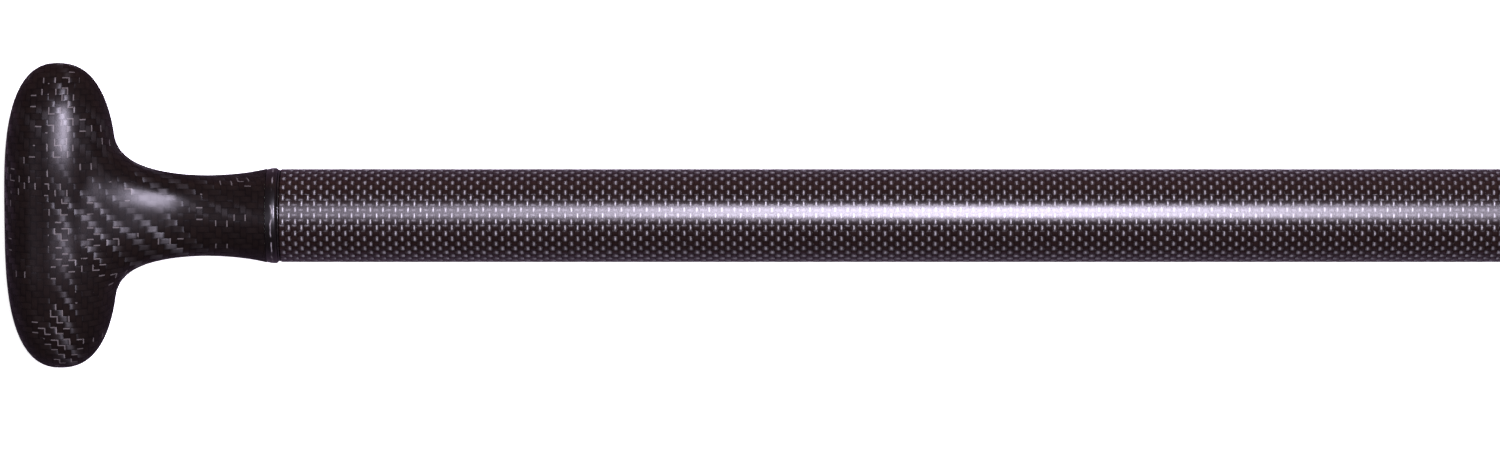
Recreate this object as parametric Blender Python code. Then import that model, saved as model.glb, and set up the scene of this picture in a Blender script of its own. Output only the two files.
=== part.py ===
"""A single-bladed carbon paddle lying flat: a T-grip, a tubular shaft and a foam-cored blade, piece by piece.

Every piece is drawn in paddle coordinates: x is the distance from the palm end of the grip, y is across the
paddle in the plane of the T-bar and the blade, and z is the height above the shaft's axis. The empty named
paddle_axis then carries them to where the paddle lies, centred on the origin with its lowest point at z = 0.
"""

import math

import bmesh
import bpy
import numpy as np
from mathutils import Vector
from mathutils.geometry import interpolate_bezier

# Driving dimensions, in metres.
OVERALL_LENGTH = 1.22
SHAFT_RADIUS = 0.0145
SHAFT_BORE = 0.0130
FIT_GAP = 0.0003  # between pieces that are bonded together

# T-grip: a cross bar whose outline and section are superellipses, melted into a round neck.
BAR_HALF_WIDTH = 0.0479
BAR_HALF_THICKNESS = 0.0155
PALM_DEPTH = 0.0170  # from the bar's widest station back to the palm end
BAR_CENTRE = PALM_DEPTH
SHAFT_SIDE_DEPTH = 0.0186  # from there towards the shaft
BAR_POWER = 2.38  # along the paddle
LOBE_POWER = 3.13  # across it, so the lobes are squarer than an ellipse
BAR_WAIST = 0.06  # how much thinner the bar is in its middle than at its lobes
WAIST_WIDTH = 0.0140
BAR_LEAN = 0.08  # how much thinner it grows towards the shaft
BAR_SOFTNESS = 0.0080  # turns the bar's superellipse into a length, to be weighed against the neck's
NECK_START = 0.0319
NECK_RADIUS = 0.01262
NECK_FLATTENING = 0.34  # the neck leaves the bar flatter and squarer than it reaches the collar
FLATTEST_NECK = 0.0520
FLAT_NECK_END = 0.0820
NECK_SQUARENESS = 3.2
SQUARE_NECK_END = 0.0340
ROUND_NECK_START = 0.0660
NECK_FLARE = 0.0020  # how much wider the neck is where it meets the collar
FLARE_START = 0.0600
FLARE_POWER = 2.5
BLEND_WIDTH = 0.0126  # how far the bar and the neck melt into each other
CREST_SHARPNESS = 0.5  # they melt less at the height of the bar's crest
GRIP_WALL = 0.0012

# Joint between grip and shaft.
SKIN_END = 0.0818
COLLAR_START_RADIUS = 0.01446
COLLAR_RADIUS = 0.0149
COLLAR_LIP = 0.0010  # the rounded nose of the collar's lip
COLLAR_END = 0.0856
SHAFT_START = 0.0862
SHAFT_CHAMFER = 0.0003
BOND_RADIUS = 0.0143
GRIP_CORE_END = 0.0520
GRIP_SPIGOT_START = 0.0540
SPIGOT_TAPER_START = 0.0620  # inside the neck the spigot is slimmer than in the shaft
SPIGOT_TAPER_END = 0.0815
SPIGOT_RADIUS = SHAFT_BORE - FIT_GAP
SPIGOT_BORE = 0.0085
SPIGOT_NECK_RADIUS = 0.0077
SPIGOT_NECK_BORE = 0.0056
SPIGOT_DEPTH = 0.0440  # how far each spigot reaches into the shaft
BULKHEAD_LENGTH = 0.0150

# Blade.
THROAT = 0.7420
SHOULDER = 0.8500
SHOULDER_HALF_WIDTH = 0.0585
CORNER = 1.1700
CORNER_HALF_WIDTH = 0.0885
PLATE_HALF_THICKNESS = 0.0026
SPINE_END = 1.1000
SPINE_HALF_WIDTH = 0.0300
SPINE_POWER = 2.2
ROUND_TO_FLAT_END = 0.8500  # where the round throat has become a flat blade with a spine
EDGE_POWER = 24  # the larger, the tighter the blade's edge is rounded
SKIN_THICKNESS = 0.0009
CORE_GAP = 0.0004  # the film of adhesive between each face and the foam
THROAT_STRIP_WIDTH = 0.0013
TIP_STRIP_WIDTH = 0.0060
STRIP_SHARES = (0.0, 0.45, 0.75, 0.93, 1.0)  # closer together towards the rounded edge
FAN_START = 1.1200  # ribs lie square across the blade up to here and fan round the tip after it
FAN_END = 1.1700
WEB_HALF_WIDTH = 0.0020
WEB_END = 1.1500
BLADE_SPIGOT_END = 0.8000
BLADE_SPIGOT_WALL = 0.0022  # at its thin end
BLADE_CORE_START = BLADE_SPIGOT_END + 10 * FIT_GAP

# Fineness of the faceted solids.
ROUND_SEGMENTS = 32
GRIP_COLUMNS = 9
BLADE_COLUMNS = 8
BLADE_COLUMN_SPREAD = 1.25  # above one, the columns are closer together over the spine
WEB_STATIONS = 12
BISECTIONS = 40
WELD = 1e-6


def remove_objects():
    for obj in list(bpy.data.objects):
        bpy.data.objects.remove(obj)


def material(name, colour, roughness, metallic=0.0, coat=0.0):
    made = bpy.data.materials.new(name)
    made.use_nodes = True
    shader = made.node_tree.nodes["Principled BSDF"]
    shader.inputs["Base Color"].default_value = (*colour, 1.0)
    shader.inputs["Roughness"].default_value = roughness
    shader.inputs["Metallic"].default_value = metallic
    shader.inputs["Coat Weight"].default_value = coat
    return made


def finish(name, bm, surface):
    """The bmesh as an object on the paddle's axis, welded, facing out and smooth between its sharp edges."""
    bmesh.ops.remove_doubles(bm, verts=bm.verts, dist=WELD)
    bmesh.ops.recalc_face_normals(bm, faces=bm.faces)
    mesh = bpy.data.meshes.new(name)
    bm.to_mesh(mesh)
    bm.free()
    mesh.shade_smooth()
    mesh.set_sharp_from_angle(angle=math.radians(35))
    mesh.materials.append(surface)
    obj = bpy.data.objects.new(name, mesh)
    bpy.context.collection.objects.link(obj)
    obj.parent = bpy.data.objects["paddle_axis"]
    return obj


def two_sheets(name, top, bottom, surface, cap_first=True, cap_last=True):
    """A closed solid between two grids of points. A row folded back on itself, as at the tip, has no cap."""
    rows, columns = top.shape[:2]
    bm = bmesh.new()
    upper = [[bm.verts.new(point) for point in row] for row in top]
    lower = [[bm.verts.new(point) for point in row] for row in bottom]
    for i in range(rows - 1):
        for j in range(columns - 1):
            for sheet in (upper, lower):
                bm.faces.new((sheet[i][j], sheet[i][j + 1], sheet[i + 1][j + 1], sheet[i + 1][j]))
        for j in (0, columns - 1):
            bm.faces.new((upper[i][j], upper[i + 1][j], lower[i + 1][j], lower[i][j]))
    capped = [0] * cap_first + [rows - 1] * cap_last
    for i in capped:
        for j in range(columns - 1):
            bm.faces.new((upper[i][j], upper[i][j + 1], lower[i][j + 1], lower[i][j]))
    return finish(name, bm, surface)


def turned(name, profile, surface):
    """A solid of revolution about the shaft's axis, from the (station, radius) points of its section."""
    bm = bmesh.new()
    points = [bm.verts.new((x, 0.0, radius)) for x, radius in profile]
    edges = [bm.edges.new(pair) for pair in zip(points, points[1:])]
    if profile[0][1] > 0:
        edges.append(bm.edges.new((points[-1], points[0])))
    bmesh.ops.spin(
        bm,
        geom=points + edges,
        cent=(0, 0, 0),
        axis=(1, 0, 0),
        angle=math.tau,
        steps=ROUND_SEGMENTS,
        use_merge=True,
    )
    return finish(name, bm, surface)


def flipped(points):
    """The same points on the other side of the plane through the T-bar and the blade."""
    return points * (1, 1, -1)


def smoothstep(t):
    t = np.clip(t, 0, 1)
    return t * t * (3 - 2 * t)


# T-grip


def neck_radius(x):
    flare = np.clip((x - FLARE_START) / (SKIN_END - FLARE_START), 0, None)
    return NECK_RADIUS + NECK_FLARE * flare**FLARE_POWER


def grip_field(x, y, z):
    """Below zero inside the grip. The bar and the neck are joined by a smooth minimum."""
    depth = np.where(x < BAR_CENTRE, PALM_DEPTH, SHAFT_SIDE_DEPTH)
    along = np.abs((x - BAR_CENTRE) / depth) ** BAR_POWER
    across = np.abs(y / BAR_HALF_WIDTH) ** LOBE_POWER
    waist = BAR_WAIST * np.exp(-((y / WAIST_WIDTH) ** 2))
    lean = BAR_LEAN * (x - BAR_CENTRE) / SHAFT_SIDE_DEPTH
    through = (z * (1 + waist + lean) / BAR_HALF_THICKNESS) ** 2
    bar = BAR_SOFTNESS * ((along + across + through) ** (1 / BAR_POWER) - 1)
    squareness = smoothstep((ROUND_NECK_START - x) / (ROUND_NECK_START - SQUARE_NECK_END))
    power = 2 + (NECK_SQUARENESS - 2) * squareness
    flatness = 1 + NECK_FLATTENING * smoothstep((FLAT_NECK_END - x) / (FLAT_NECK_END - FLATTEST_NECK))
    section = (np.abs(y) ** power + np.abs(z * flatness) ** power) ** (1 / power)
    neck = np.hypot(section, np.minimum(x - NECK_START, 0)) - neck_radius(x)
    blend = BLEND_WIDTH * (1 - CREST_SHARPNESS * np.clip(np.abs(z) / BAR_HALF_THICKNESS, 0, 1) ** 2)
    overlap = np.clip(1 - np.abs(bar - neck) / blend, 0, None)
    return np.minimum(bar, neck) - blend * overlap**2 / 4


def crossing(field, start, direction, furthest):
    """How far along each ray from inside the field it leaves it."""
    near = np.zeros(np.broadcast(start[0], start[1], start[2], direction[0]).shape)
    far = near + furthest
    for _ in range(BISECTIONS):
        middle = (near + far) / 2
        inside = field(*(s + d * middle for s, d in zip(start, direction))) < 0
        near, far = np.where(inside, middle, near), np.where(inside, far, middle)
    return near


# Ribs over the grip: a station on its axis, an angle from the shaft's direction, and the steps to the next.
GRIP_FAN = (
    (BAR_CENTRE, 180, 8),
    (BAR_CENTRE, 90, 7),
    (0.0215, 62, 5),
    (0.0365, 90, 7),
    (SKIN_END, 90, 0),
)


def grip_ribs(height):
    """Where each rib starts on the axis and where it meets the grip's outline at this height."""
    stations, angles = [], []
    for (x, angle, steps), (next_x, next_angle, _) in zip(GRIP_FAN, GRIP_FAN[1:]):
        share = np.arange(steps) / steps
        stations.extend(x + (next_x - x) * share)
        angles.extend(angle + (next_angle - angle) * share)
    stations = np.array(stations + [SKIN_END])
    angles = np.radians(angles + [90])
    reach = crossing(
        grip_field,
        (stations, 0.0, height),
        (np.cos(angles), np.sin(angles), 0.0),
        2 * BAR_HALF_WIDTH,
    )
    return stations, stations + reach * np.cos(angles), reach * np.sin(angles)


def grip_normals(points):
    step = 1e-6
    slopes = []
    for axis in np.eye(3):
        ahead, behind = points + step * axis, points - step * axis
        slopes.append(grip_field(*np.moveaxis(ahead, -1, 0)) - grip_field(*np.moveaxis(behind, -1, 0)))
    normals = np.stack(slopes, axis=-1)
    return normals / np.linalg.norm(normals, axis=-1, keepdims=True)


def grip_sheet(height, inset):
    """The grip's upper surface down to this height, moved into the wall by inset."""
    stations, outline_x, outline_y = grip_ribs(height)
    share = np.sin(np.linspace(-math.pi / 2, math.pi / 2, 2 * GRIP_COLUMNS + 1))
    x = stations[:, None] + (outline_x - stations)[:, None] * np.abs(share)
    y = outline_y[:, None] * share
    z = crossing(grip_field, (x, y, 0.0), (0.0, 0.0, 1.0 + 0 * x), 2 * BAR_HALF_THICKNESS)
    outer = np.stack([x, y, np.maximum(z, height)], axis=-1)
    moved = outer - inset * grip_normals(outer)
    moved[:, [0, -1], 2] = height
    moved[-1, :, 0] = SKIN_END
    return moved


def grip_shells(carbon):
    outer = grip_sheet(FIT_GAP / 2, 0.0)
    inner = grip_sheet(FIT_GAP / 2, GRIP_WALL)
    two_sheets("grip_upper_shell", outer, inner, carbon, cap_first=False)
    two_sheets("grip_lower_shell", flipped(outer), flipped(inner), carbon, cap_first=False)


def grip_core(foam):
    sheet = grip_sheet(0.0, GRIP_WALL + FIT_GAP)
    inside = sheet[sheet[:, GRIP_COLUMNS, 0] < GRIP_CORE_END]
    two_sheets("grip_foam_core", inside, flipped(inside), foam, cap_first=False)


def grip_spigot(composite):
    end = SHAFT_START + SPIGOT_DEPTH
    turned(
        "grip_spigot",
        (
            (GRIP_SPIGOT_START, SPIGOT_NECK_RADIUS),
            (SPIGOT_TAPER_START, SPIGOT_NECK_RADIUS),
            (SPIGOT_TAPER_END, SPIGOT_RADIUS),
            (end, SPIGOT_RADIUS),
            (end, SPIGOT_BORE),
            (SPIGOT_TAPER_END, SPIGOT_BORE),
            (SPIGOT_TAPER_START, SPIGOT_NECK_BORE),
            (GRIP_SPIGOT_START, SPIGOT_NECK_BORE),
        ),
        composite,
    )


def collar(gloss):
    """A moulded end ring whose lip stands a little proud of the grip and of the shaft."""
    bore = SPIGOT_RADIUS + FIT_GAP
    start = SKIN_END + FIT_GAP / 2
    crown = COLLAR_END - 1.3 * COLLAR_LIP
    profile = []
    for t in (0.0, 0.35, 0.7):
        swell = (COLLAR_RADIUS - COLLAR_START_RADIUS) * math.sin(t * math.pi / 2)
        profile.append((start + (crown - start) * t, COLLAR_START_RADIUS + swell))
    for angle in np.radians((90, 60, 30, 0)):
        along, out = COLLAR_LIP * math.cos(angle), COLLAR_LIP * math.sin(angle)
        profile.append((COLLAR_END - COLLAR_LIP + along, COLLAR_RADIUS - COLLAR_LIP + out))
    turned("grip_collar", (*profile, (COLLAR_END, bore), (start, bore)), gloss)


def bond_line(name, start, end, epoxy):
    bore = SPIGOT_RADIUS + FIT_GAP
    turned(name, ((start, BOND_RADIUS), (end, BOND_RADIUS), (end, bore), (start, bore)), epoxy)


# Shaft


def shaft(carbon):
    start, end = SHAFT_START, THROAT - 2 * FIT_GAP
    turned(
        "shaft_tube",
        (
            (start, SHAFT_RADIUS - SHAFT_CHAMFER),
            (start + SHAFT_CHAMFER, SHAFT_RADIUS),
            (end - SHAFT_CHAMFER, SHAFT_RADIUS),
            (end, SHAFT_RADIUS - SHAFT_CHAMFER),
            (end, SHAFT_BORE),
            (start, SHAFT_BORE),
        ),
        carbon,
    )


def bulkhead(name, start, foam):
    end = start + BULKHEAD_LENGTH
    turned(name, ((start, 0.0), (start, SPIGOT_RADIUS), (end, SPIGOT_RADIUS), (end, 0.0)), foam)


# Blade

SIDE_SLOPE = (CORNER_HALF_WIDTH - SHOULDER_HALF_WIDTH) / (CORNER - SHOULDER)


def on_side(x):
    """The point of the blade's straight side at this station."""
    return x, SHOULDER_HALF_WIDTH + SIDE_SLOPE * (x - SHOULDER)


TIP_BREAK = (1.2155, 0.0550)
# The outline of one side as Bezier segments: start, two handles, end and number of steps.
BLADE_OUTLINE = (
    ((THROAT, SHAFT_RADIUS), (0.7850, SHAFT_RADIUS), on_side(0.8100), on_side(SHOULDER), 9),
    (on_side(SHOULDER), on_side(0.9400), on_side(1.0300), on_side(FAN_START), 6),
    (on_side(FAN_START), on_side(1.1367), on_side(1.1533), on_side(CORNER), 2),
    (on_side(CORNER), (1.1960, 0.0909), (1.2120, 0.0760), TIP_BREAK, 6),
    (TIP_BREAK, (1.2185, 0.0360), (OVERALL_LENGTH, 0.0180), (OVERALL_LENGTH, 0.0), 4),
)


def blade_ribs():
    """Where each rib starts on the axis and ends on the outline, from the throat round to the tip."""
    outline = []
    for start, handle, next_handle, end, steps in BLADE_OUTLINE:
        knots = [Vector((*point, 0.0)) for point in (start, handle, next_handle, end)]
        outline.extend(tuple(p)[:2] for p in interpolate_bezier(*knots, steps + 1)[:-1])
    outline = np.array(outline + [(OVERALL_LENGTH, 0.0)])
    lengths = np.linalg.norm(np.diff(outline, axis=0), axis=1)
    travelled = np.concatenate([[0.0], np.cumsum(lengths)])
    fan_from = np.interp(FAN_START, outline[:, 0], travelled)
    share = np.clip((travelled - fan_from) / (travelled[-1] - fan_from), 0, 1)
    stations = np.minimum(outline[:, 0], FAN_START) + (FAN_END - FAN_START) * share
    return stations, outline


def centre_half_thickness(x):
    left = np.clip(1 - (x - THROAT) / (SPINE_END - THROAT), 0, 1)
    return PLATE_HALF_THICKNESS + (SHAFT_RADIUS - PLATE_HALF_THICKNESS) * left**SPINE_POWER


def blade_half_thickness(station, half_width, share):
    """Round at the throat, then a flat plate with a spine that fades out, rounded off at its edge."""
    centre = centre_half_thickness(station)
    from_spine = np.clip(share * half_width / SPINE_HALF_WIDTH, 0, 1)
    spine = (centre - PLATE_HALF_THICKNESS) * (1 - from_spine**2) ** 2
    flat = (PLATE_HALF_THICKNESS + spine) * np.sqrt(np.clip(1 - share**EDGE_POWER, 0, None))
    round_bar = centre * np.sqrt(np.clip(1 - share**2, 0, None))
    flatness = smoothstep((station - THROAT) / (ROUND_TO_FLAT_END - THROAT))
    return round_bar + (flat - round_bar) * flatness


def blade_points(stations, outline, share, sink):
    """Points at these signed shares of each rib, on the blade's upper face or sunk below it."""
    reach = np.abs(share)
    x = stations[:, None] + (outline[:, 0] - stations)[:, None] * reach
    y = outline[:, 1][:, None] * share
    z = blade_half_thickness(stations[:, None], outline[:, 1][:, None], reach) - sink
    return np.stack([x, y, np.maximum(z, 0.0)], axis=-1)


def strip_share(stations, outline, inset):
    """The share of each rib at which the edge strip starts, less an inset in metres."""
    length = np.hypot(outline[:, 0] - stations, outline[:, 1])
    towards_tip = smoothstep((outline[:, 0] - THROAT) / (SHOULDER - THROAT))
    width = THROAT_STRIP_WIDTH + (TIP_STRIP_WIDTH - THROAT_STRIP_WIDTH) * towards_tip
    return 1 - (width + inset) / length


def face_shares(stations, outline):
    """Shares of each rib from the axis to the edge strip, closer together over the spine."""
    spread = np.linspace(0, 1, BLADE_COLUMNS + 1) ** BLADE_COLUMN_SPREAD
    return strip_share(stations, outline, FIT_GAP)[:, None] * spread


def blade_faces(carbon):
    stations, outline = blade_ribs()
    one_side = face_shares(stations, outline)
    share = np.concatenate([-one_side[:, :0:-1], one_side], axis=1)
    outer = blade_points(stations, outline, share, 0.0)
    inner = blade_points(stations, outline, share, SKIN_THICKNESS)
    two_sheets("blade_power_face", outer, inner, carbon, cap_last=False)
    two_sheets("blade_back_face", flipped(outer), flipped(inner), carbon, cap_last=False)


def blade_edge_strip(resin):
    """A solid strip round the blade's edge, from the throat round the tip and back to the throat."""
    stations, outline = blade_ribs()
    start = strip_share(stations, outline, 0.0)[:, None]
    share = start + (1 - start) * np.array(STRIP_SHARES)
    one_side = blade_points(stations, outline, share, 0.0)
    other_side = (one_side * (1, -1, 1))[-2::-1]
    top = np.concatenate([one_side, other_side])
    two_sheets("blade_edge_strip", top, flipped(top), resin)


def blade_core(name, side, foam):
    """Foam between the faces on one side of the centre web."""
    stations, outline = blade_ribs()
    clear = WEB_HALF_WIDTH + FIT_GAP
    used = (stations > BLADE_CORE_START) & (outline[:, 1] > 3 * clear)
    stations, outline = stations[used], outline[used]
    share = np.maximum(face_shares(stations, outline), (clear / outline[:, 1])[:, None])
    top = blade_points(stations, outline, share, SKIN_THICKNESS + CORE_GAP) * (1, side, 1)
    two_sheets(name, top, flipped(top), foam)


def blade_web(composite):
    """The shear web that joins the two faces along the middle of the blade."""
    stations = np.linspace(BLADE_CORE_START, WEB_END, WEB_STATIONS)
    height = centre_half_thickness(stations) - SKIN_THICKNESS - FIT_GAP
    right = np.stack([stations, 0 * stations - WEB_HALF_WIDTH, height], axis=-1)
    top = np.stack([right, right * (1, -1, 1)], axis=1)
    two_sheets("blade_centre_web", top, flipped(top), composite)


def blade_spigot(composite):
    """A stub inside the throat that tapers as the blade thins and is bonded into the shaft."""
    start = THROAT - SPIGOT_DEPTH
    clearance = SKIN_THICKNESS + 2 * FIT_GAP
    taper = []
    for x in np.linspace(THROAT, BLADE_SPIGOT_END, 5):
        taper.append((x, min(SPIGOT_RADIUS, centre_half_thickness(x) - clearance)))
    end_bore = taper[-1][1] - BLADE_SPIGOT_WALL
    turned(
        "blade_spigot",
        (
            (start, SPIGOT_RADIUS),
            *taper,
            (BLADE_SPIGOT_END, end_bore),
            (THROAT, SPIGOT_BORE),
            (start, SPIGOT_BORE),
        ),
        composite,
    )


def main():
    remove_objects()
    axis = bpy.data.objects.new("paddle_axis", None)
    bpy.context.collection.objects.link(axis)
    deepest = max(grip_sheet(0.0, 0.0)[..., 2].max(), COLLAR_RADIUS)
    axis.location = (-OVERALL_LENGTH / 2, 0.0, deepest)

    twill = material("twill_carbon", (0.030, 0.028, 0.030), 0.34, coat=0.5)
    plain = material("plain_weave_carbon", (0.036, 0.034, 0.038), 0.28, coat=1.0)
    gloss_black = material("gloss_black_resin", (0.010, 0.010, 0.011), 0.16, coat=1.0)
    epoxy = material("dark_epoxy", (0.020, 0.017, 0.015), 0.50)
    glass_fibre = material("glass_fibre_laminate", (0.42, 0.46, 0.36), 0.45)
    grip_foam = material("grip_foam", (0.70, 0.64, 0.48), 0.85)
    blade_foam = material("blade_foam", (0.82, 0.78, 0.70), 0.85)
    plug_foam = material("plug_foam", (0.30, 0.30, 0.31), 0.90)

    grip_shells(twill)
    grip_core(grip_foam)
    collar(gloss_black)
    grip_spigot(glass_fibre)
    bond_line("grip_bond_line", COLLAR_END + FIT_GAP / 3, SHAFT_START - FIT_GAP / 3, epoxy)

    shaft(plain)
    bulkhead("shaft_upper_bulkhead", SHAFT_START + SPIGOT_DEPTH + FIT_GAP, plug_foam)
    bulkhead("shaft_lower_bulkhead", THROAT - SPIGOT_DEPTH - FIT_GAP - BULKHEAD_LENGTH, plug_foam)

    bond_line("blade_bond_line", THROAT - 5 * FIT_GAP / 3, THROAT - FIT_GAP / 3, epoxy)
    blade_spigot(glass_fibre)
    blade_faces(plain)
    blade_edge_strip(gloss_black)
    blade_core("blade_core_left", 1, blade_foam)
    blade_core("blade_core_right", -1, blade_foam)
    blade_web(glass_fibre)


main()
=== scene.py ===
"""The looks of a carbon paddle with a T-grip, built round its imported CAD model.

Shapes are drawn in paddle coordinates, as in the CAD: x from the palm end of the grip, y across the paddle in
the plane of the T-bar and the blade, z above the shaft's axis. to_frame() carries them to where the CAD lies.
"""

import math

import bmesh
import bpy
import numpy as np
from mathutils import Matrix, Vector
from mathutils.geometry import interpolate_bezier


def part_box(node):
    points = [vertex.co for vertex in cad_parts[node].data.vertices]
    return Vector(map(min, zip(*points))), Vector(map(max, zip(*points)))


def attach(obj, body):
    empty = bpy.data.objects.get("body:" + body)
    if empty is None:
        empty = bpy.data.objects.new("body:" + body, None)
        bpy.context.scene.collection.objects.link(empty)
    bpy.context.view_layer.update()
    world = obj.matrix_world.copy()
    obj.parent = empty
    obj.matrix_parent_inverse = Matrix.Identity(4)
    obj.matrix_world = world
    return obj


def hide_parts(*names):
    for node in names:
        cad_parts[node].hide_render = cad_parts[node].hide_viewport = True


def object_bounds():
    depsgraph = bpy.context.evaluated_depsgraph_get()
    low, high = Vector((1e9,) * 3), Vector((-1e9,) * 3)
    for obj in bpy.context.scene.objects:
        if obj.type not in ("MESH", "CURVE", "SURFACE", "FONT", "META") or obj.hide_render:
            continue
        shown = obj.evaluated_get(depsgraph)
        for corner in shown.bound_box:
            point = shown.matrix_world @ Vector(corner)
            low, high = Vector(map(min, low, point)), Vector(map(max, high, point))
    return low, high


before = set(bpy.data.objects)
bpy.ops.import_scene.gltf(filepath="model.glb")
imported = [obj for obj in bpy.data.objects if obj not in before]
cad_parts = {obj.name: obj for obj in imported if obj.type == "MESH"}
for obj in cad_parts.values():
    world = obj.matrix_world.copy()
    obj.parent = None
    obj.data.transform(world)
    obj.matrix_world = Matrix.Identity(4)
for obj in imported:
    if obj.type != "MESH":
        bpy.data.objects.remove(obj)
CAD_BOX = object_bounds()

# The CAD's own places, from its boxes.
SHAFT_LOW, SHAFT_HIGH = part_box("shaft_tube")
COLLAR_LOW, COLLAR_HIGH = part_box("grip_collar")
GRIP_LOW, GRIP_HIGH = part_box("grip_upper_shell")
STRIP_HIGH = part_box("blade_edge_strip")[1]
BOND_LOW, BOND_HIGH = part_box("grip_bond_line")
BLADE_BOND_LOW, BLADE_BOND_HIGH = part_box("blade_bond_line")
PALM = CAD_BOX[0].x
AXIS_HEIGHT = (SHAFT_LOW.z + SHAFT_HIGH.z) / 2
SHAFT_RADIUS = (SHAFT_HIGH.y - SHAFT_LOW.y) / 2
SHAFT_START, SHAFT_END = SHAFT_LOW.x - PALM, SHAFT_HIGH.x - PALM
SKIN_END = GRIP_HIGH.x - PALM
COLLAR_START, COLLAR_END = COLLAR_LOW.x - PALM, COLLAR_HIGH.x - PALM
COLLAR_RADIUS = (COLLAR_HIGH.y - COLLAR_LOW.y) / 2
OVERALL_LENGTH = STRIP_HIGH.x - PALM
BAR_HALF_WIDTH = (GRIP_HIGH.y - GRIP_LOW.y) / 2
GRIP_HEIGHT = GRIP_HIGH.z - AXIS_HEIGHT

# T-grip, as in the CAD.
BAR_HALF_THICKNESS = 0.0155
PALM_DEPTH = 0.0170
BAR_CENTRE = PALM_DEPTH
SHAFT_SIDE_DEPTH = 0.0186
BAR_POWER = 2.38
LOBE_POWER = 3.13
BAR_WAIST = 0.06
WAIST_WIDTH = 0.0140
BAR_LEAN = 0.08
BAR_SOFTNESS = 0.0080
NECK_START = 0.0319
NECK_RADIUS = 0.01262
NECK_FLATTENING = 0.34
FLATTEST_NECK = 0.0520
FLAT_NECK_END = 0.0820
NECK_SQUARENESS = 3.2
SQUARE_NECK_END = 0.0340
ROUND_NECK_START = 0.0660
NECK_FLARE = 0.0020
FLARE_START = 0.0600
FLARE_POWER = 2.5
BLEND_WIDTH = 0.0126
CREST_SHARPNESS = 0.5
GRIP_WALL = 0.0012
COLLAR_START_RADIUS = 0.01446
COLLAR_LIP = 0.0010
COLLAR_CROWN = 1.3  # distance from the widest ring to the collar's end, in lips
COLLAR_SWELL_END = 0.86  # share of the way to the crown at which the lip's round takes over
BEAD_DIP = 0.0001
BORE = 0.0130
CHAMFER = 0.0003
SEAM = 0.00005  # half the parting gap between the grip's two mouldings

# Blade, as in the CAD.
THROAT = 0.7420
SHOULDER = 0.8500
SHOULDER_HALF_WIDTH = 0.0585
CORNER = 1.1700
CORNER_HALF_WIDTH = 0.0885
SIDE_SLOPE = (CORNER_HALF_WIDTH - SHOULDER_HALF_WIDTH) / (CORNER - SHOULDER)
PLATE_HALF_THICKNESS = 0.0026
SPINE_END = 1.1000
SPINE_HALF_WIDTH = 0.0300
SPINE_POWER = 2.2
ROUND_TO_FLAT_END = 0.8500
EDGE_POWER = 24
SKIN_THICKNESS = 0.0009
THROAT_STRIP_WIDTH = 0.0013
TIP_STRIP_WIDTH = 0.0060
STRIP_GAP = 0.00008
FAN_START = 1.1200
FAN_END = 1.1700

# Fineness of the meshes.
ROUND_SEGMENTS = 160
SHAFT_RINGS = 220
SWELL_STEPS = 9
LIP_STEPS = 10
BEAD_STEPS = 9
GRIP_FINENESS = 5
GRIP_COLUMNS = 44
BLADE_FINENESS = 5
BLADE_COLUMNS = 30
STRIP_COLUMNS = 12
BISECTIONS = 26
CLOTH_STEPS = 24
SLOPE_STEP = 1e-6
WELD = 1e-6
SHARP_ANGLE = 35

# Cloth: the pitch of the tows, and how high each crosses over the next. Noise scales are per metre.
TWILL_PITCH = 0.00199
SHAFT_TOWS = 48
SHAFT_PITCH = 0.00195
TWILL_RELIEF = 0.00010
PLAIN_RELIEF = 0.00017
TOW_SECTION_POWER = 8
CROWN_SHARE = 0.6  # of a tow's depth of colour that follows its height as painted shade, darker where it dips and lighter on its crown, while the rest is chance
GRAIN_SCALE = 3500
PATCH_SCALE = 75
PATCH_LIMITS = (0.40, 0.62)
GLINT_END = (0.72, 0.94)  # of the way from a float's middle to its end, over which the painted glints lie
BLOTCH_SCALE = 60
ROUGHNESS_BY_TOW = 0.06
ROUGHNESS_BY_BLOTCH = 0.08

# The strip along the crest of the bar where the ends of the tows get painted glints: pale colour that stands
# in for the light they catch there.
GLINT_STRIP_SHIFT = 0.0020
GLINT_STRIP_CENTRE = PALM + BAR_CENTRE + GLINT_STRIP_SHIFT  # in the frame, as the materials need it
GLINT_STRIP_HALF_WIDTH = 0.0065
GLINT_STRIP_HALF_CORE = 0.0020

# The end ring's resin, and the ragged pale line in it.
RESIN_BLACK = (0.004, 0.003, 0.003)
RESIN_ROUGHNESS = 0.30
ROUGHNESS_BY_WAVE = 0.08
RESIN_WAVES = 0.00003
PALE_LINE_START = 0.0019  # past the ring's start
PALE_LINE_STRAY = 0.0020  # from one side to the other
PALE_LINE_HALF_WIDTH = 0.00030
PALE_LINE_BREAKS = (0.46, 0.60)
PALE_LINE_COLOUR = (0.24, 0.225, 0.225)

# Foam, laminate and epoxy.
CELL_LIMITS = (0.35, 0.65)
ROUGHNESS_BY_CELL = 0.15

# Studio and camera.
VIEW_WIDTH = 0.4677
VIEW_MARGIN = 0.0014  # of floor beyond the palm end
VIEW_CENTRE = PALM - VIEW_MARGIN + VIEW_WIDTH / 2
VIEW_SIDE_SHIFT = -0.0028
CAMERA_DISTANCE = 2.6
RIG_TURN = 0.135  # of the camera and its lights, in radians about the shaft's axis
KEY_HEIGHT = 1.7
KEY_AHEAD = 0.121  # of the middle of the view, towards the blade
KEY_ASIDE = 0.255
KEY_SIZE = (0.28, 0.86)
KEY_RADIANCE = 95
KEY_COLOUR = (0.86, 0.79, 1.0)
FILL_PLACE = (0.10, 1.4, 0.25)
FILL_SIZE = (1.4, 0.35)
FILL_RADIANCE = 0.45
FILL_COLOUR = (1.0, 0.62, 0.52)
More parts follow.
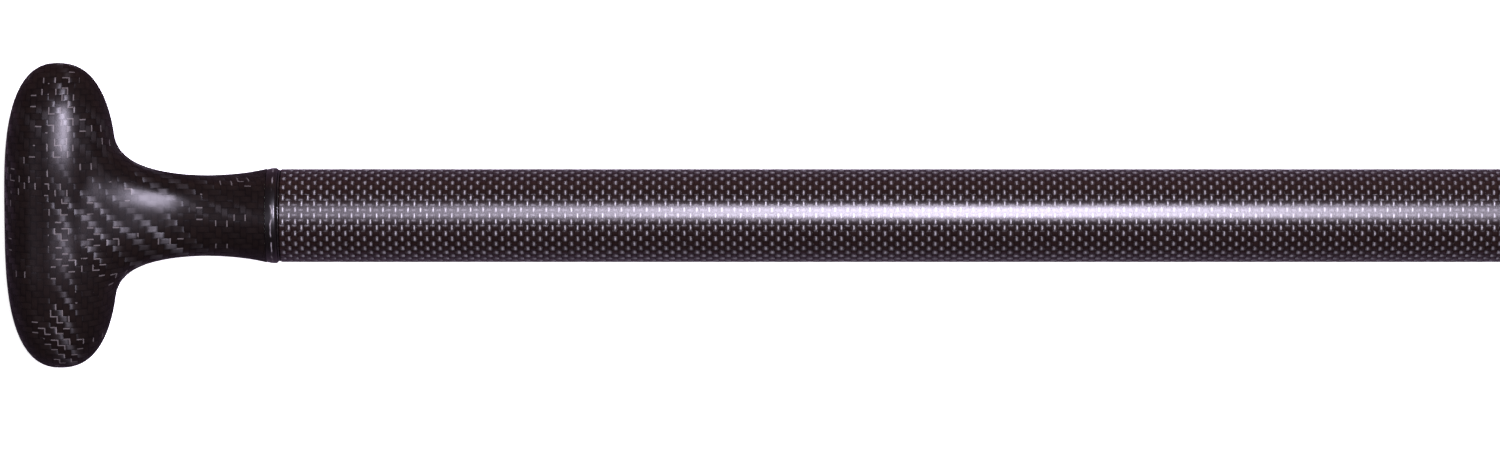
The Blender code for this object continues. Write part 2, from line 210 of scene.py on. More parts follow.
# The soft boxes beyond the palm and beyond the blade, which serve the side views.
END_REACH = 2.0
END_HEIGHT = 2.2
END_SIZE = 1.2
END_RADIANCE = 0.9
SENSOR_WIDTH = 36.0
WHITE = (1.0, 1.0, 1.0)
WORLD_MIRRORED = (0.036, 0.026, 0.026)
FLOOR_HALF_WIDTH = 40.0
FLOOR_SEEN = (1.1, 1.1, 1.1)
FLOOR_GLOW = 0.90
FLOOR_MIRRORED = (0.100, 0.072, 0.092)
FLOOR_MIRRORED_WARM = (0.140, 0.066, 0.052)
WARM_FLOOR_START = 0.15  # the y beyond which what is mirrored of the floor is warm


# Meshes


def to_frame(points):
    return np.asarray(points) + (PALM, 0.0, AXIS_HEIGHT)


def smoothstep(t):
    t = np.clip(t, 0, 1)
    return t * t * (3 - 2 * t)


def finish_mesh(name, bm, surface, slot, *nodes):
    """The bmesh as a welded, closed piece in the frame, which stands for the CAD nodes."""
    bmesh.ops.remove_doubles(bm, verts=bm.verts, dist=WELD)
    bmesh.ops.recalc_face_normals(bm, faces=bm.faces)
    mesh = bpy.data.meshes.new(name)
    bm.to_mesh(mesh)
    bm.free()
    mesh.shade_smooth()
    mesh.set_sharp_from_angle(angle=math.radians(SHARP_ANGLE))
    mesh.materials.append(surface)
    piece = bpy.data.objects.new(name, mesh)
    bpy.context.scene.collection.objects.link(piece)
    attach(piece, "root")
    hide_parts(*nodes)
    return piece


def turned(profile):
    """A solid of revolution about the shaft's axis, from the (station, radius) points of its section."""
    bm = bmesh.new()
    rings = []
    for step in range(ROUND_SEGMENTS):
        angle = math.tau * step / ROUND_SEGMENTS
        ring = [(x, radius * math.sin(angle), radius * math.cos(angle)) for x, radius in profile]
        rings.append([bm.verts.new(point) for point in to_frame(ring)])
    for ring, next_ring in zip(rings, rings[1:] + rings[:1]):
        for k in range(len(profile)):
            after = (k + 1) % len(profile)
            bm.faces.new((ring[k], ring[after], next_ring[after], next_ring[k]))
    return bm


def two_sheets(top, bottom, cap_first=True, cap_last=True):
    """A closed solid between two grids of points. A row folded back on itself has no cap."""
    rows, columns = top.shape[:2]
    bm = bmesh.new()
    upper = [[bm.verts.new(point) for point in row] for row in to_frame(top)]
    lower = [[bm.verts.new(point) for point in row] for row in to_frame(bottom)]
    for i in range(rows - 1):
        for j in range(columns - 1):
            for sheet in (upper, lower):
                bm.faces.new((sheet[i][j], sheet[i][j + 1], sheet[i + 1][j + 1], sheet[i + 1][j]))
        for j in (0, columns - 1):
            bm.faces.new((upper[i][j], upper[i + 1][j], lower[i + 1][j], lower[i][j]))
    for i in [0] * cap_first + [rows - 1] * cap_last:
        for j in range(columns - 1):
            bm.faces.new((upper[i][j], upper[i][j + 1], lower[i][j + 1], lower[i][j]))
    return bm


def flipped(points):
    return points * (1, 1, -1)


# T-grip


def neck_radius(x):
    flare = np.clip((x - FLARE_START) / (SKIN_END - FLARE_START), 0, None)
    return NECK_RADIUS + NECK_FLARE * flare**FLARE_POWER


def grip_field(x, y, z):
    """Below zero inside the grip. The bar and the neck are joined by a smooth minimum."""
    depth = np.where(x < BAR_CENTRE, PALM_DEPTH, SHAFT_SIDE_DEPTH)
    along = np.abs((x - BAR_CENTRE) / depth) ** BAR_POWER
    across = np.abs(y / BAR_HALF_WIDTH) ** LOBE_POWER
    waist = BAR_WAIST * np.exp(-((y / WAIST_WIDTH) ** 2))
    lean = BAR_LEAN * (x - BAR_CENTRE) / SHAFT_SIDE_DEPTH
    through = (z * (1 + waist + lean) / BAR_HALF_THICKNESS) ** 2
    bar = BAR_SOFTNESS * ((along + across + through) ** (1 / BAR_POWER) - 1)
    squareness = smoothstep((ROUND_NECK_START - x) / (ROUND_NECK_START - SQUARE_NECK_END))
    power = 2 + (NECK_SQUARENESS - 2) * squareness
    flatness = 1 + NECK_FLATTENING * smoothstep((FLAT_NECK_END - x) / (FLAT_NECK_END - FLATTEST_NECK))
    section = (np.abs(y) ** power + np.abs(z * flatness) ** power) ** (1 / power)
    neck = np.hypot(section, np.minimum(x - NECK_START, 0)) - neck_radius(x)
    blend = BLEND_WIDTH * (1 - CREST_SHARPNESS * np.clip(np.abs(z) / BAR_HALF_THICKNESS, 0, 1) ** 2)
    overlap = np.clip(1 - np.abs(bar - neck) / blend, 0, None)
    return np.minimum(bar, neck) - blend * overlap**2 / 4


def crossing(start, direction, furthest):
    """How far along each ray from inside the grip it leaves it."""
    near = np.zeros(np.broadcast(*start, *direction).shape)
    far = near + furthest
    for _ in range(BISECTIONS):
        middle = (near + far) / 2
        inside = grip_field(*(s + d * middle for s, d in zip(start, direction))) < 0
        near, far = np.where(inside, middle, near), np.where(inside, far, middle)
    return near


# Ribs over the grip: a station on its axis, an angle from the shaft's direction, and the steps to the next.
GRIP_FAN = (
    (BAR_CENTRE, 180, 8),
    (BAR_CENTRE, 90, 7),
    (0.0215, 62, 5),
    (0.0365, 90, 7),
    (SKIN_END, 90, 0),
)


def grip_ribs(height):
    stations, angles = [], []
    for (x, angle, steps), (next_x, next_angle, _) in zip(GRIP_FAN, GRIP_FAN[1:]):
        share = np.arange(steps * GRIP_FINENESS) / (steps * GRIP_FINENESS)
        stations.extend(x + (next_x - x) * share)
        angles.extend(angle + (next_angle - angle) * share)
    stations = np.array(stations + [SKIN_END])
    angles = np.radians(angles + [90])
    reach = crossing((stations, 0.0, height), (np.cos(angles), np.sin(angles), 0.0), 2 * BAR_HALF_WIDTH)
    return stations, stations + reach * np.cos(angles), reach * np.sin(angles)


def grip_height(x, y):
    return crossing((x, y, 0.0), (0.0, 0.0, 1.0), 2 * BAR_HALF_THICKNESS)


def grip_normals(points):
    slopes = []
    for axis in np.eye(3):
        ahead, behind = points + SLOPE_STEP * axis, points - SLOPE_STEP * axis
        slopes.append(grip_field(*np.moveaxis(ahead, -1, 0)) - grip_field(*np.moveaxis(behind, -1, 0)))
    normals = np.stack(slopes, axis=-1)
    return normals / np.linalg.norm(normals, axis=-1, keepdims=True)


def grip_sheet(inset):
    """The grip's upper surface down to the seam, moved into the wall by inset."""
    stations, outline_x, outline_y = grip_ribs(SEAM)
    share = np.sin(np.linspace(-math.pi / 2, math.pi / 2, 2 * GRIP_COLUMNS + 1))
    x = stations[:, None] + (outline_x - stations)[:, None] * np.abs(share)
    y = outline_y[:, None] * share
    outer = np.stack([x, y, np.maximum(grip_height(x, y), SEAM)], axis=-1)
    moved = outer - inset * grip_normals(outer)
    moved[:, [0, -1], 2] = SEAM
    moved[-1, :, 0] = SKIN_END
    moved[..., 2] *= np.minimum(1, GRIP_HEIGHT / outer[..., 2].max())
    return moved


def cloth_lengths(points):
    """How far each point lies along the cloth from the middle of the bar, measured over the surface."""
    x, y = points[:, 0], points[:, 1]
    share = np.sin(np.linspace(0, math.pi / 2, CLOTH_STEPS + 1))[:, None]
    from_crest = BAR_CENTRE + (x - BAR_CENTRE) * share, y + 0 * share
    from_middle = x + 0 * share, y * share
    lengths = []
    for path_x, path_y in (from_crest, from_middle):
        path = np.stack([path_x, path_y, grip_height(path_x, path_y)], axis=-1)
        lengths.append(np.linalg.norm(np.diff(path, axis=0), axis=-1).sum(axis=0))
    along = lengths[0] * np.sign(x - BAR_CENTRE)
    across = lengths[1] * np.sign(y)
    return along, across


def grip_shell(name, side, surface, cad_node):
    outer, inner = grip_sheet(0.0), grip_sheet(GRIP_WALL)
    if side < 0:
        outer, inner = flipped(outer), flipped(inner)
    shell = two_sheets(outer, inner, cap_first=False)
    piece = finish_mesh(name, shell, surface, "twill_carbon", cad_node)
    points = np.array([v.co for v in piece.data.vertices]) - (PALM, 0.0, AXIS_HEIGHT)
    along, across = cloth_lengths(points)
    lengths = np.stack([along, across, 0 * along], axis=-1)
    attribute = piece.data.attributes.new("cloth", "FLOAT_VECTOR", "POINT")
    attribute.data.foreach_set("vector", lengths.astype(np.float32).ravel())


def collar(surface):
    """A moulded end ring whose lip stands a little proud of the grip and of the shaft."""
    crown = COLLAR_END - COLLAR_CROWN * COLLAR_LIP
    profile = []
    for t in np.linspace(0, COLLAR_SWELL_END, SWELL_STEPS):
        swell = (COLLAR_RADIUS - COLLAR_START_RADIUS) * math.sin(t * math.pi / 2)
        profile.append((COLLAR_START + (crown - COLLAR_START) * t, COLLAR_START_RADIUS + swell))
    for angle in np.linspace(math.pi / 2, 0, LIP_STEPS):
        along, out = COLLAR_LIP * math.cos(angle), COLLAR_LIP * math.sin(angle)
        profile.append((COLLAR_END - COLLAR_LIP + along, COLLAR_RADIUS - COLLAR_LIP + out))
    ring = turned((*profile, (COLLAR_END, BORE), (COLLAR_START, BORE)))
    finish_mesh("end_ring", ring, surface, "gloss_black_resin", "grip_collar")


def bead(name, low, high, surface, cad_node):
    """The line of adhesive in a joint, which dips a little between the two edges that it wets."""
    start, end = low.x - PALM, high.x - PALM
    edge = (high.y - low.y) / 2
    profile = []
    for t in np.linspace(-1, 1, BEAD_STEPS):
        profile.append((start + (end - start) * (t + 1) / 2, edge - BEAD_DIP * (1 - t * t)))
    ring = turned((*profile, (end, BORE), (start, BORE)))
    finish_mesh(name, ring, surface, "dark_epoxy", cad_node)


def shaft(surface):
    """The tube. Its many rings keep the faces of its mesh short."""
    stations = np.linspace(SHAFT_START + CHAMFER, SHAFT_END - CHAMFER, SHAFT_RINGS)
    profile = [(SHAFT_START, SHAFT_RADIUS - CHAMFER)]
    for x in stations:
        profile.append((x, SHAFT_RADIUS))
    profile.extend(((SHAFT_END, SHAFT_RADIUS - CHAMFER), (SHAFT_END, BORE), (SHAFT_START, BORE)))
    finish_mesh("tube", turned(profile), surface, "plain_weave_carbon", "shaft_tube")


# Blade


def on_side(x):
    """The point of the blade's straight side at this station."""
    return x, SHOULDER_HALF_WIDTH + SIDE_SLOPE * (x - SHOULDER)


TIP_BREAK = (1.2155, 0.0550)
# The outline of one side as Bezier segments: start, two handles, end and number of steps.
BLADE_OUTLINE = (
    ((THROAT, SHAFT_RADIUS), (0.7850, SHAFT_RADIUS), on_side(0.8100), on_side(SHOULDER), 9),
    (on_side(SHOULDER), on_side(0.9400), on_side(1.0300), on_side(FAN_START), 6),
    (on_side(FAN_START), on_side(1.1367), on_side(1.1533), on_side(CORNER), 2),
    (on_side(CORNER), (1.1960, 0.0909), (1.2120, 0.0760), TIP_BREAK, 6),
    (TIP_BREAK, (1.2185, 0.0360), (OVERALL_LENGTH, 0.0180), (OVERALL_LENGTH, 0.0), 4),
)


def blade_ribs():
    outline = []
    for start, handle, next_handle, end, steps in BLADE_OUTLINE:
        knots = [Vector((*point, 0.0)) for point in (start, handle, next_handle, end)]
        outline.extend(tuple(p)[:2] for p in interpolate_bezier(*knots, steps * BLADE_FINENESS + 1)[:-1])
    outline = np.array(outline + [(OVERALL_LENGTH, 0.0)])
    outline[:, 1] *= STRIP_HIGH.y / outline[:, 1].max()
    lengths = np.linalg.norm(np.diff(outline, axis=0), axis=1)
    travelled = np.concatenate([[0.0], np.cumsum(lengths)])
    fan_from = np.interp(FAN_START, outline[:, 0], travelled)
    share = np.clip((travelled - fan_from) / (travelled[-1] - fan_from), 0, 1)
    stations = np.minimum(outline[:, 0], FAN_START) + (FAN_END - FAN_START) * share
    return stations, outline


def centre_half_thickness(x):
    left = np.clip(1 - (x - THROAT) / (SPINE_END - THROAT), 0, 1)
    return PLATE_HALF_THICKNESS + (SHAFT_RADIUS - PLATE_HALF_THICKNESS) * left**SPINE_POWER


def blade_half_thickness(station, half_width, share):
    """Round at the throat, then a flat plate with a spine that fades out, rounded off at its edge."""
    centre = centre_half_thickness(station)
    from_spine = np.clip(share * half_width / SPINE_HALF_WIDTH, 0, 1)
    spine = (centre - PLATE_HALF_THICKNESS) * (1 - from_spine**2) ** 2
    flat = (PLATE_HALF_THICKNESS + spine) * np.sqrt(np.clip(1 - share**EDGE_POWER, 0, None))
    round_bar = centre * np.sqrt(np.clip(1 - share**2, 0, None))
    flatness = smoothstep((station - THROAT) / (ROUND_TO_FLAT_END - THROAT))
    return round_bar + (flat - round_bar) * flatness


def blade_points(stations, outline, share, sink):
    reach = np.abs(share)
    x = stations[:, None] + (outline[:, 0] - stations)[:, None] * reach
    y = outline[:, 1][:, None] * share
    z = blade_half_thickness(stations[:, None], outline[:, 1][:, None], reach) - sink
    return np.stack([x, y, np.maximum(z, 0.0)], axis=-1)


def strip_share(stations, outline, inset):
    """The share of each rib at which the edge strip starts, less an inset in metres."""
    length = np.hypot(outline[:, 0] - stations, outline[:, 1])
    towards_tip = smoothstep((outline[:, 0] - THROAT) / (SHOULDER - THROAT))
    width = THROAT_STRIP_WIDTH + (TIP_STRIP_WIDTH - THROAT_STRIP_WIDTH) * towards_tip
    return 1 - (width + inset) / length


def blade_faces(surface):
    stations, outline = blade_ribs()
    one_side = strip_share(stations, outline, STRIP_GAP)[:, None] * np.linspace(0, 1, BLADE_COLUMNS + 1)
    share = np.concatenate([-one_side[:, :0:-1], one_side], axis=1)
    outer = blade_points(stations, outline, share, 0.0)
    inner = blade_points(stations, outline, share, SKIN_THICKNESS)
    power = two_sheets(outer, inner, cap_last=False)
    back = two_sheets(flipped(outer), flipped(inner), cap_last=False)
    finish_mesh("power_face", power, surface, "blade_carbon", "blade_power_face")
    finish_mesh("back_face", back, surface, "blade_carbon", "blade_back_face")


def blade_edge_strip(surface):
    """The solid strip round the blade's edge, from the throat round the tip and back to the throat."""
    stations, outline = blade_ribs()
    start = strip_share(stations, outline, 0.0)[:, None]
    share = start + (1 - start) * np.sin(np.linspace(0, math.pi / 2, STRIP_COLUMNS + 1))
    one_side = blade_points(stations, outline, share, 0.0)
    other_side = (one_side * (1, -1, 1))[-2::-1]
    top = np.concatenate([one_side, other_side])
    strip = two_sheets(top, flipped(top))
    finish_mesh("edge_strip", strip, surface, "gloss_black_resin", "blade_edge_strip")


# Materials


class Field:
    """A number at every point of a surface: node sockets joined by ordinary arithmetic."""

    def __init__(self, tree, socket):
        self.tree = tree
        self.socket = socket

    def math(self, operation, *others):
        made = self.tree.nodes.new("ShaderNodeMath")
        made.operation = operation
        for slot, value in zip(made.inputs, (self, *others)):
            plug(self.tree, value, slot)
        return Field(self.tree, made.outputs[0])

    def __add__(self, other):
        return self.math("ADD", other)

    def __sub__(self, other):
        return self.math("SUBTRACT", other)

    def __mul__(self, other):
        return self.math("MULTIPLY", other)

    def __truediv__(self, other):
        return self.math("DIVIDE", other)

    def __pow__(self, other):
        return self.math("POWER", other)

    def __mod__(self, other):
        return self.math("FLOORED_MODULO", other)

    def __lt__(self, other):
        return self.math("LESS_THAN", other)

    def __abs__(self):
        return self.math("ABSOLUTE")

    def floor(self):
        return self.math("FLOOR")

    def fract(self):
        return self.math("FRACT")

    def inverse(self):
        return self * -1 + 1

    def towards(self, other, share):
        """This number where share is 0, the other where it is 1."""
        return (other - self) * share + self


def plug(tree, value, slot):
    """Puts a number, a colour, a Field or a socket into a node's input."""
    if isinstance(value, Field):
        value = value.socket
    if isinstance(value, bpy.types.NodeSocket):
        tree.links.new(value, slot)
    else:
        slot.default_value = value


def node(tree, kind, output, **inputs):
    """A new node with these inputs, by their names with underscores for spaces. Returns one output."""
    made = tree.nodes.new(kind)
    for name, value in inputs.items():
        plug(tree, value, made.inputs[name.replace("_", " ")])
    return made.outputs[output]


def mix(tree, share, first, second, kind="RGBA"):
    made = tree.nodes.new("ShaderNodeMix")
    made.data_type = kind
    made.clamp_factor = True
    first_slot, second_slot = [s for s in made.inputs if s.enabled and s.name in "AB"]
    plug(tree, share, next(s for s in made.inputs if s.enabled and s.name == "Factor"))
    for value, slot in ((first, first_slot), (second, second_slot)):
        plug(tree, (*value, 1.0) if isinstance(value, tuple) and kind == "RGBA" else value, slot)
    return next(s for s in made.outputs if s.enabled)


def cross(tree, first, second):
    made = tree.nodes.new("ShaderNodeVectorMath")
    made.operation = "CROSS_PRODUCT"
    plug(tree, first, made.inputs[0])
    plug(tree, second, made.inputs[1])
    return made.outputs[0]


def noise(tree, position, scale, detail=2.0, seed=0.0):
    made = tree.nodes.new("ShaderNodeTexNoise")
    made.noise_dimensions = "4D"
    plug(tree, position, made.inputs["Vector"])
    made.inputs["W"].default_value = seed
    made.inputs["Scale"].default_value = scale
    made.inputs["Detail"].default_value = detail
    return Field(tree, made.outputs[0])


def spread(field, low, high):
    """The field stretched so that low becomes 0 and high becomes 1, smoothly and held within them."""
    made = field.tree.nodes.new("ShaderNodeMapRange")
    made.interpolation_type = "SMOOTHSTEP"
    plug(field.tree, field, made.inputs["Value"])
    made.inputs["From Min"].default_value = low
    made.inputs["From Max"].default_value = high
    return Field(field.tree, made.outputs[0])


def whim(tree, i, j):
    """A fixed random number for each pair of whole numbers."""
    place = node(tree, "ShaderNodeCombineXYZ", 0, X=i, Y=j)
    made = tree.nodes.new("ShaderNodeTexWhiteNoise")
    made.noise_dimensions = "2D"
    tree.links.new(place, made.inputs["Vector"])
    return Field(tree, made.outputs["Value"])


def new_surface(name):
    made = bpy.data.materials.new(name)
    made.use_nodes = True
    tree = made.node_tree
    position = node(tree, "ShaderNodeTexCoord", "Object")
    return made, tree, position, tree.nodes["Principled BSDF"]


def dress(tree, shader, **inputs):
    for name, value in inputs.items():
        plug(tree, value, shader.inputs[name.replace("_", " ")])


def bump(tree, height):
    return node(tree, "ShaderNodeBump", 0, Strength=1.0, Distance=1.0, Height=height)


def split(tree, vector):
    made = tree.nodes.new("ShaderNodeSeparateXYZ")
    tree.links.new(vector, made.inputs[0])
    return [Field(tree, output) for output in made.outputs]


def weave(tree, u, v, float_length):
    """A plain or twill weave of tows, float_length tows long where they lie on top, at cloth lengths in tows.

    Returns 1 where the tow along u is on top, the place along and across the float from -1 to 1, and a random
    number for each float.
    """
    i, j = u.floor(), v.floor()
    repeat = 2 * float_length
    over_u = ((i + j) % repeat) < float_length
    along_u = ((u + j) % repeat) * (2 / float_length) - 1
    along_v = ((v + i) % repeat) * (2 / float_length) - 3
    along = along_v.towards(along_u, over_u)
    across = (u.fract() * 2 - 1).towards(v.fract() * 2 - 1, over_u)
    float_u = ((u + j) / repeat).floor()
    float_v = ((v + i) / repeat).floor()
    chance = whim(tree, float_v.towards(float_u, over_u), i.towards(j, over_u))
    return over_u, along, across, chance


def stray(tree, position, scale, tows, seed):
    """A smooth random shift of the cloth, by up to half this many tows either way."""
    return (noise(tree, position, scale, seed=seed) - 0.5) * tows


def wound(tree, position):
    """Cloth lengths on the shaft in tows: along it, and round it with a tow's middle on top."""
    x, y, z = split(tree, position)
    turn = y.math("ARCTAN2", z - AXIS_HEIGHT)
    u = (x - SHAFT_LOW.x) / SHAFT_PITCH + stray(tree, position, scale=38, tows=0.32, seed=1.0)
    v = turn * (SHAFT_TOWS / math.tau) + 0.5 + stray(tree, position, scale=42, tows=0.24, seed=2.0)
    return u, v


def carbon(name, place, float_length, relief, hoops, looks):
    """Woven carbon under resin. Each float shines like a bundle of fibres: sharply along it and widely
    across it. hoops says that the tows along v go round the shaft.
    """
    made, tree, position, shader = new_surface(name)
    u, v = place(tree, position)
    over_u, along, across, chance = weave(tree, u, v, float_length)
    crown = (abs(along) ** looks["crown_power"]).inverse() * (across ** TOW_SECTION_POWER).inverse()
    grain = noise(tree, position, GRAIN_SCALE, detail=1.0, seed=3.0)
    height = crown * relief + grain * looks["grain"]
    normal_in = node(tree, "ShaderNodeNewGeometry", "Normal")
    shaftwise = cross(tree, normal_in, (1.0, 0.0, 0.0))
    crosswise = (1.0, 0.0, 0.0) if hoops else cross(tree, normal_in, (0.0, 1.0, 0.0))
    tangent = mix(tree, over_u, crosswise, shaftwise, kind="VECTOR")
    # Painted shade: the colour follows the tows' height, darker where they dip and lighter on their crowns,
    # mixed with random tone.
    depth = crown * CROWN_SHARE + chance * (1 - CROWN_SHARE)
    patch = spread(noise(tree, position, PATCH_SCALE, seed=10.0), *PATCH_LIMITS)
    x = split(tree, position)[0]
    # Painted glints: pale colour on the ends of some floats, most of all in a strip along the bar's crest.
    on_crest = spread(abs(x - GLINT_STRIP_CENTRE), GLINT_STRIP_HALF_WIDTH, GLINT_STRIP_HALF_CORE)
    glint_share = on_crest * looks["glints_on_crest"] + patch * looks["glints_in_patches"]
    painted_glint = spread(abs(along), *GLINT_END) * (chance < glint_share)
    colour = mix(tree, painted_glint, mix(tree, depth, looks["deep"], looks["top"]), looks["glint_colour"])
    shine = (patch * looks["patchy"] + (1 - looks["patchy"])) * looks["specular"]
    shine = shine * (over_u * (1 - looks["v_shine"]) + looks["v_shine"])
    blotch = noise(tree, position, BLOTCH_SCALE, seed=4.0)
    roughness = chance * ROUGHNESS_BY_TOW + (blotch - 0.5) * ROUGHNESS_BY_BLOTCH + looks["roughness"]
    dress(
        tree, shader,
        Base_Color=colour,
        Roughness=roughness,
        Normal=bump(tree, height),
        Anisotropic=looks["anisotropic"],
        Tangent=tangent,
        Specular_IOR_Level=(abs(across) ** looks["edge_power"]).inverse() * shine,
        Coat_Weight=looks["coat"],
        Coat_Roughness=looks["coat_roughness"],
    )
    return made


PLAIN_LOOKS = {
    "crown_power": 2.0,  # how square a float is along its length
    "grain": 0.0,  # height of the fibres in a tow
    "deep": (0.005, 0.0018, 0.0015),  # colour where the tows dip, the dark end of the painted shade
    "top": (0.013, 0.007, 0.006),  # colour on the crowns, the light end of the painted shade
    "glint_colour": (0.0, 0.0, 0.0),  # colour of the painted glints on the ends of floats
    "glints_on_crest": 0.0,  # share of the floats with painted glints in the crest strip
    "glints_in_patches": 0.0,  # share with painted glints in patches, on the strip and off it
    "roughness": 0.37,
    "anisotropic": 1.0,
    "specular": 1.0,  # in the middle of a float
    "edge_power": 1.6,  # how squarely the specular falls off across a float
    "v_shine": 0.4,  # share of the specular on the tows along v
    "patchy": 0.0,  # share of the specular that comes in patches
    "coat": 0.50,
    "coat_roughness": 0.24,
}
TWILL_LOOKS = {
    "crown_power": 3.0,
    "grain": 0.000008,
    "deep": (0.0035, 0.0025, 0.0025),
    "top": (0.009, 0.006, 0.005),
    "glint_colour": (0.105, 0.093, 0.087),
    "glints_on_crest": 0.42,
    "glints_in_patches": 0.13,
    "roughness": 0.34,
    "anisotropic": 1.0,
    "specular": 0.22,
    "edge_power": 8.0,
    "v_shine": 0.3,
    "patchy": 0.80,
    "coat": 0.26,
    "coat_roughness": 0.26,
}


def shaft_carbon():
    return carbon("plain_weave_carbon", wound, 1, PLAIN_RELIEF, True, PLAIN_LOOKS)


def blade_carbon():
    def flat(tree, position):
        x, y, z = split(tree, position)
        return (x - SHAFT_LOW.x) / SHAFT_PITCH, y / SHAFT_PITCH + 0.5

    return carbon("blade_carbon", flat, 1, PLAIN_RELIEF, False, PLAIN_LOOKS)


def grip_carbon():
    def draped(tree, position):
        cloth = node(tree, "ShaderNodeAttribute", "Vector")
        cloth.node.attribute_name = "cloth"
        along, across, nothing = split(tree, cloth)
        u = along / TWILL_PITCH + stray(tree, position, scale=30, tows=0.5, seed=5.0)
        v = across / TWILL_PITCH + stray(tree, position, scale=30, tows=0.5, seed=6.0)
        return u, v

    return carbon("twill_carbon", draped, 2, TWILL_RELIEF, False, TWILL_LOOKS)


def gloss_resin():
    """Black resin, with the ragged pale edge of the cloth showing through where the grip's skin ends."""
    made, tree, position, shader = new_surface("gloss_black_resin")
    x = split(tree, position)[0]
    ragged = noise(tree, position, scale=260, seed=7.0)
    edge = (ragged - 0.5) * PALE_LINE_STRAY + (COLLAR_LOW.x + PALE_LINE_START)
    line = abs(x - edge) / PALE_LINE_HALF_WIDTH
    broken = spread(noise(tree, position, scale=330, seed=8.0), *PALE_LINE_BREAKS)
    pale = spread(line.inverse(), 0.0, 1.0) * broken
    waves = noise(tree, position, scale=180, seed=9.0)
    dress(
        tree, shader,
        Base_Color=mix(tree, pale, RESIN_BLACK, PALE_LINE_COLOUR),
        Roughness=waves * ROUGHNESS_BY_WAVE + RESIN_ROUGHNESS,
        Specular_IOR_Level=0.35,
        Normal=bump(tree, waves * RESIN_WAVES),
        Coat_Weight=0.28,
        Coat_Roughness=0.20,
    )
    return made


def mottled(name, first, second, roughness, scale, relief):
    """A plain moulded or foamed material: two colours mixed by noise, with a matching grain."""
    made, tree, position, shader = new_surface(name)
    cells = noise(tree, position, scale, detail=3.0)
    dress(
        tree, shader,
        Base_Color=mix(tree, spread(cells, *CELL_LIMITS), first, second),
        Roughness=cells * ROUGHNESS_BY_CELL + roughness,
        Normal=bump(tree, cells * relief),
    )
    return made


# For mottled(): two colours, the roughness, the scale of the grain and its height.
MOTTLED_LOOKS = {
    "dark_epoxy": ((0.006, 0.005, 0.005), (0.016, 0.013, 0.012), 0.12, 900, 0.00002),
    "grip_foam": ((0.70, 0.64, 0.48), (0.62, 0.55, 0.40), 0.80, 1500, 0.0001),
    "plug_foam": ((0.30, 0.30, 0.31), (0.22, 0.22, 0.23), 0.85, 1500, 0.0001),
    "blade_foam": ((0.82, 0.78, 0.70), (0.74, 0.70, 0.62), 0.80, 1500, 0.0001),
    "glass_fibre_laminate": ((0.42, 0.46, 0.36), (0.34, 0.39, 0.29), 0.40, 400, 0.00005),
}
INSIDE_NODES = {
    "grip_foam": ("grip_foam_core",),
    "plug_foam": ("shaft_upper_bulkhead", "shaft_lower_bulkhead"),
    "blade_foam": ("blade_core_left", "blade_core_right"),
    "glass_fibre_laminate": ("grip_spigot", "blade_spigot", "blade_centre_web"),
}


def dress_inside():
    """The hidden CAD nodes keep their shapes and get the foam or the laminate that they are made of."""
    for material, names in INSIDE_NODES.items():
        surface = mottled(material, *MOTTLED_LOOKS[material])
        for name in names:
            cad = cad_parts[name]
            cad.data.materials.clear()
            cad.data.materials.append(surface)


# Studio


def floor():
    """A pale floor. The camera sees it bright. The carbon mirrors it dim, and warmer on the +y side."""
    mesh = bpy.data.meshes.new("floor")
    half = FLOOR_HALF_WIDTH
    corners = [(-half, -half, 0.0), (half, -half, 0.0), (half, half, 0.0), (-half, half, 0.0)]
    mesh.from_pydata(corners, [], [(0, 1, 2, 3)])
    made = bpy.data.materials.new("pale_floor")
    made.use_nodes = True
    tree = made.node_tree
    tree.nodes.remove(tree.nodes["Principled BSDF"])
    seen = node(tree, "ShaderNodeLightPath", "Is Camera Ray")
    y = split(tree, node(tree, "ShaderNodeNewGeometry", "Position"))[1]
    mirrored = mix(tree, spread(y, 0.0, WARM_FLOOR_START), FLOOR_MIRRORED, FLOOR_MIRRORED_WARM)
    matt = node(tree, "ShaderNodeBsdfDiffuse", 0, Color=mix(tree, seen, mirrored, FLOOR_SEEN))
    glow = node(tree, "ShaderNodeEmission", 0, Strength=Field(tree, seen) * FLOOR_GLOW)
    both = tree.nodes.new("ShaderNodeAddShader")
    tree.links.new(matt, both.inputs[0])
    tree.links.new(glow, both.inputs[1])
    tree.links.new(both.outputs[0], tree.nodes["Material Output"].inputs["Surface"])
    mesh.materials.append(made)
    obj = bpy.data.objects.new("floor", mesh)
    obj.location.z = CAD_BOX[0].z
    bpy.context.scene.collection.objects.link(obj)


def area_light(name, place, target, width, depth, radiance, colour):
    """A soft box at place that faces target. Its power follows from its radiance and its size."""
    lamp = bpy.data.lights.new(name, "AREA")
    lamp.shape = "RECTANGLE"
    lamp.size = width
    lamp.size_y = depth
    lamp.energy = math.pi * radiance * width * depth
    lamp.color = colour
    obj = bpy.data.objects.new(name, lamp)
    obj.location = place
    obj.rotation_euler = (Vector(target) - Vector(place)).to_track_quat("-Z", "Y").to_euler()
    obj.visible_camera = False
    bpy.context.scene.collection.objects.link(obj)


def from_rig(ahead, aside, distance):
    """A place over the shaft, in the directions of the turned camera."""
    turn = Matrix.Rotation(-RIG_TURN, 3, "X")
    return turn @ Vector((0.0, aside, distance)) + Vector((VIEW_CENTRE + ahead, 0.0, AXIS_HEIGHT))


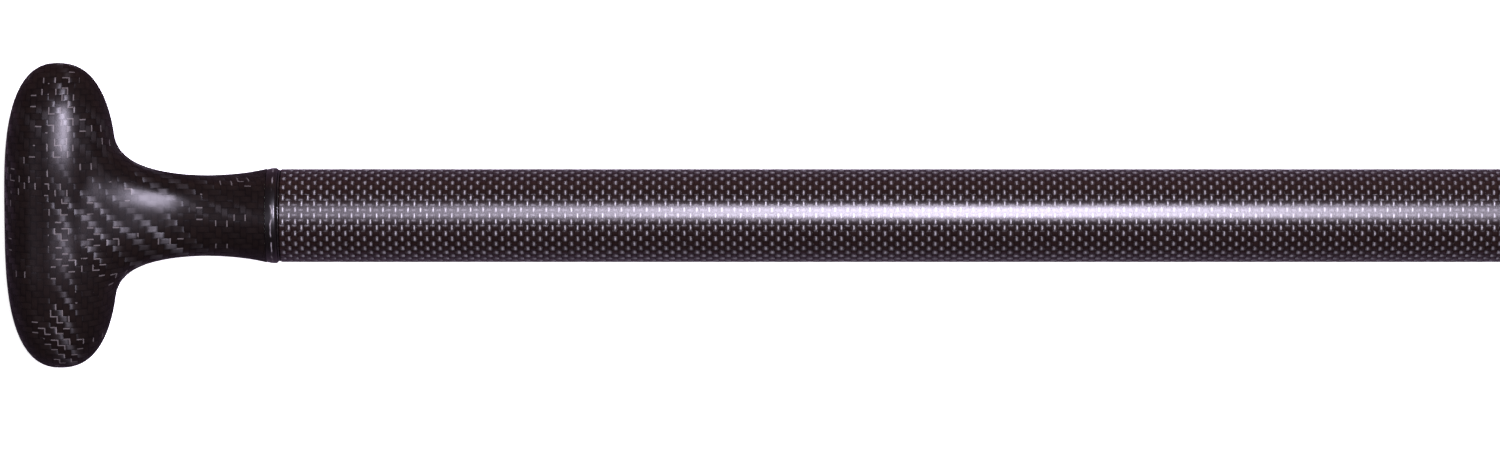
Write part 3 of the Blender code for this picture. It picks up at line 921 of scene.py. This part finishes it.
def studio():
    key_place = from_rig(KEY_AHEAD, KEY_ASIDE, KEY_HEIGHT)
    area_light("key", key_place, from_rig(KEY_AHEAD, 0.0, 0.0), *KEY_SIZE, KEY_RADIANCE, KEY_COLOUR)
    ahead, aside, height = FILL_PLACE
    fill_place = from_rig(ahead, aside, height)
    area_light("fill", fill_place, from_rig(ahead, 0.0, 0.0), *FILL_SIZE, FILL_RADIANCE, FILL_COLOUR)
    middle = (0.0, 0.0, AXIS_HEIGHT)
    for side in (-1, 1):
        end_place = (side * END_REACH, 0.0, END_HEIGHT)
        area_light(f"end_{side}", end_place, middle, END_SIZE, END_SIZE, END_RADIANCE, KEY_COLOUR)
    world = bpy.data.worlds.new("studio")
    world.use_nodes = True
    tree = world.node_tree
    back = tree.nodes["Background"]
    seen = node(tree, "ShaderNodeLightPath", "Is Camera Ray")
    tree.links.new(mix(tree, seen, WORLD_MIRRORED, WHITE), back.inputs["Color"])
    bpy.context.scene.world = world
    bpy.context.scene.view_settings.view_transform = "Standard"


def camera():
    data = bpy.data.cameras.new("camera")
    data.sensor_width = SENSOR_WIDTH
    data.lens = SENSOR_WIDTH * CAMERA_DISTANCE / VIEW_WIDTH
    obj = bpy.data.objects.new("camera", data)
    obj.location = from_rig(0.0, VIEW_SIDE_SHIFT, CAMERA_DISTANCE)
    obj.rotation_euler.x = -RIG_TURN
    bpy.context.scene.collection.objects.link(obj)
    bpy.context.scene.camera = obj


def main():
    twill = grip_carbon()
    plain = shaft_carbon()
    gloss = gloss_resin()
    epoxy = mottled("dark_epoxy", *MOTTLED_LOOKS["dark_epoxy"])
    dress_inside()
    grip_shell("grip_upper_skin", 1, twill, "grip_upper_shell")
    grip_shell("grip_lower_skin", -1, twill, "grip_lower_shell")
    collar(gloss)
    bead("grip_bead", BOND_LOW, BOND_HIGH, epoxy, "grip_bond_line")
    shaft(plain)
    bead("blade_bead", BLADE_BOND_LOW, BLADE_BOND_HIGH, epoxy, "blade_bond_line")
    blade_faces(blade_carbon())
    blade_edge_strip(gloss)
    floor()
    studio()
    camera()


main()
